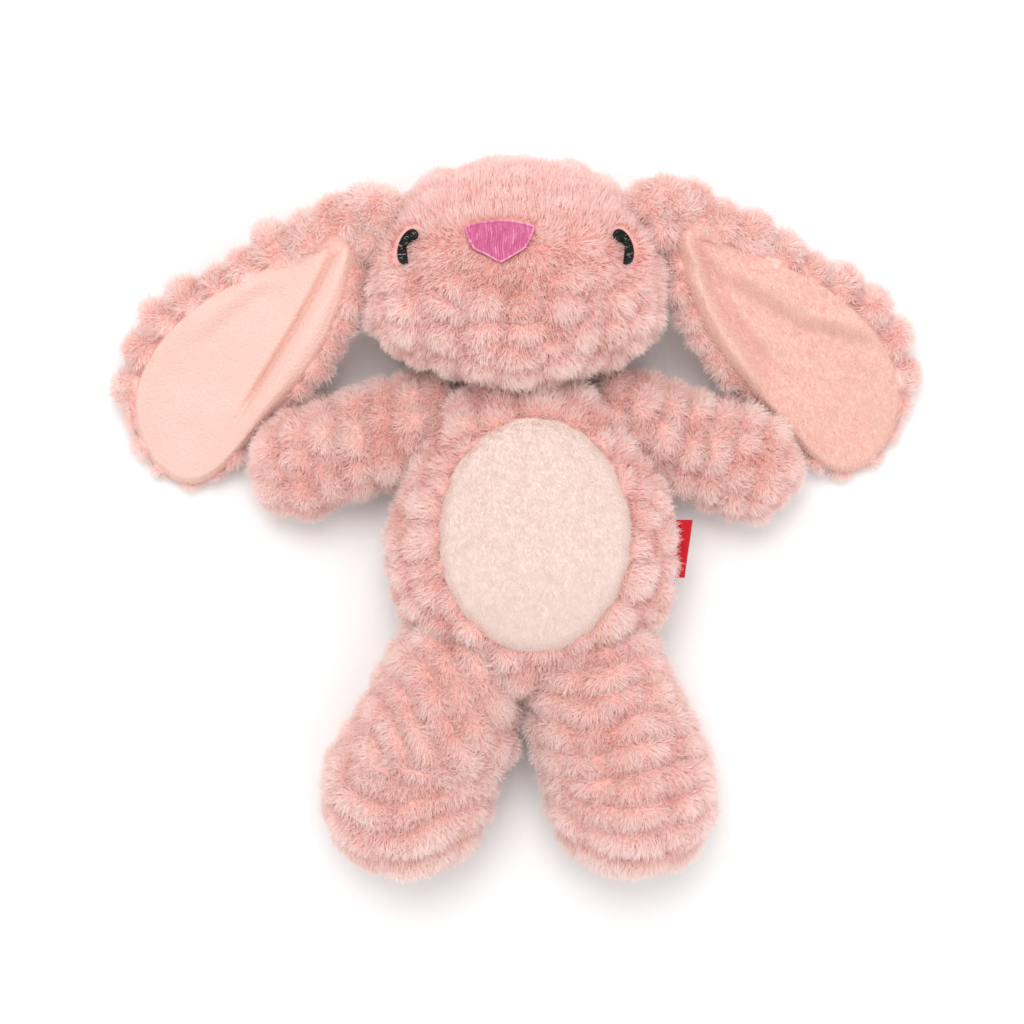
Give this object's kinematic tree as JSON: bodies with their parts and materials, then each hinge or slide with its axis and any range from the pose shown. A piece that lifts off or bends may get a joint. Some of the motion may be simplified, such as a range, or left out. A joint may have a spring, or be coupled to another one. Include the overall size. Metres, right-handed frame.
{
  "type": "stuffed bunny rabbit",
  "caption": "Plush rabbit lying on its back, with long lop ears, stuffed arms and legs that hinge, an embroidered face and a smooth oval tummy patch.",
  "frame": {"origin": "on the resting plane, under the middle of the outline", "axes": "+Z from the back to the tummy, +Y from the feet to the crown of the head, +X to the rabbit's own left arm"},
  "size_m": [0.2736, 0.2428, 0.0765],
  "materials": {
    "pile_fabric": "deep ribbed plush pile, matt",
    "lining_fabric": "short smooth velour, matt",
    "patch_fabric": "short smooth velour, matt",
    "fibre_fill": "loose polyester fibre",
    "nose_thread": "satin stitch, slight sheen",
    "eye_thread": "satin stitch, slight sheen",
    "label_ribbon": "woven ribbon, plain"
  },
  "bodies": {
    "torso": {"torso_front": "pile_fabric", "torso_back": "pile_fabric", "tummy_patch": "patch_fabric", "torso_stuffing": "fibre_fill", "side_label": "label_ribbon"},
    "head": {"face_panel": "pile_fabric", "head_back_panel": "pile_fabric", "head_stuffing": "fibre_fill", "nose": "nose_thread", "eye_left": "eye_thread", "eye_right": "eye_thread"},
    "ear_left": {"ear_left_pile": "pile_fabric", "ear_left_lining": "lining_fabric"},
    "arm_left": {"arm_left_front": "pile_fabric", "arm_left_back": "pile_fabric", "arm_left_stuffing": "fibre_fill"},
    "leg_left": {"leg_left_front": "pile_fabric", "leg_left_back": "pile_fabric", "leg_left_stuffing": "fibre_fill"},
    "ear_right": {"ear_right_pile": "pile_fabric", "ear_right_lining": "lining_fabric"},
    "arm_right": {"arm_right_front": "pile_fabric", "arm_right_back": "pile_fabric", "arm_right_stuffing": "fibre_fill"},
    "leg_right": {"leg_right_front": "pile_fabric", "leg_right_back": "pile_fabric", "leg_right_stuffing": "fibre_fill"}
  },
  "joints": [
    {"name": "neck_nod", "type": "hinge", "parent": "torso", "child": "head", "pos_m": [-0.001, 0.0835, 0.038], "axis": [1, 0, 0], "range_deg": [-5, 35], "stiffness_Nm_per_rad": 0.05},
    {"name": "ear_left_lift", "type": "hinge", "parent": "head", "child": "ear_left", "pos_m": [0.05, 0.104, 0.0467], "axis": [-0.7547, -0.6561, 0], "range_deg": [-30, 90]},
    {"name": "ear_right_lift", "type": "hinge", "parent": "head", "child": "ear_right", "pos_m": [-0.052, 0.101, 0.0467], "axis": [-0.766, 0.6428, 0], "range_deg": [-30, 90]},
    {"name": "arm_left_lift", "type": "hinge", "parent": "torso", "child": "arm_left", "pos_m": [0.0385, 0.035, 0.023], "axis": [-0.4067, -0.9135, 0], "range_deg": [-20, 90], "stiffness_Nm_per_rad": 0.02},
    {"name": "arm_right_lift", "type": "hinge", "parent": "torso", "child": "arm_right", "pos_m": [-0.0335, 0.034, 0.023], "axis": [-0.3746, 0.9272, 0], "range_deg": [-20, 90], "stiffness_Nm_per_rad": 0.02},
    {"name": "leg_left_lift", "type": "hinge", "parent": "torso", "child": "leg_left", "pos_m": [0.027, -0.055, 0.026], "axis": [-0.9455, -0.3256, 0], "range_deg": [-25, 60], "stiffness_Nm_per_rad": 0.03},
    {"name": "leg_right_lift", "type": "hinge", "parent": "torso", "child": "leg_right", "pos_m": [-0.022, -0.056, 0.026], "axis": [-0.9336, 0.3584, 0], "range_deg": [-25, 60], "stiffness_Nm_per_rad": 0.03}
  ]
}
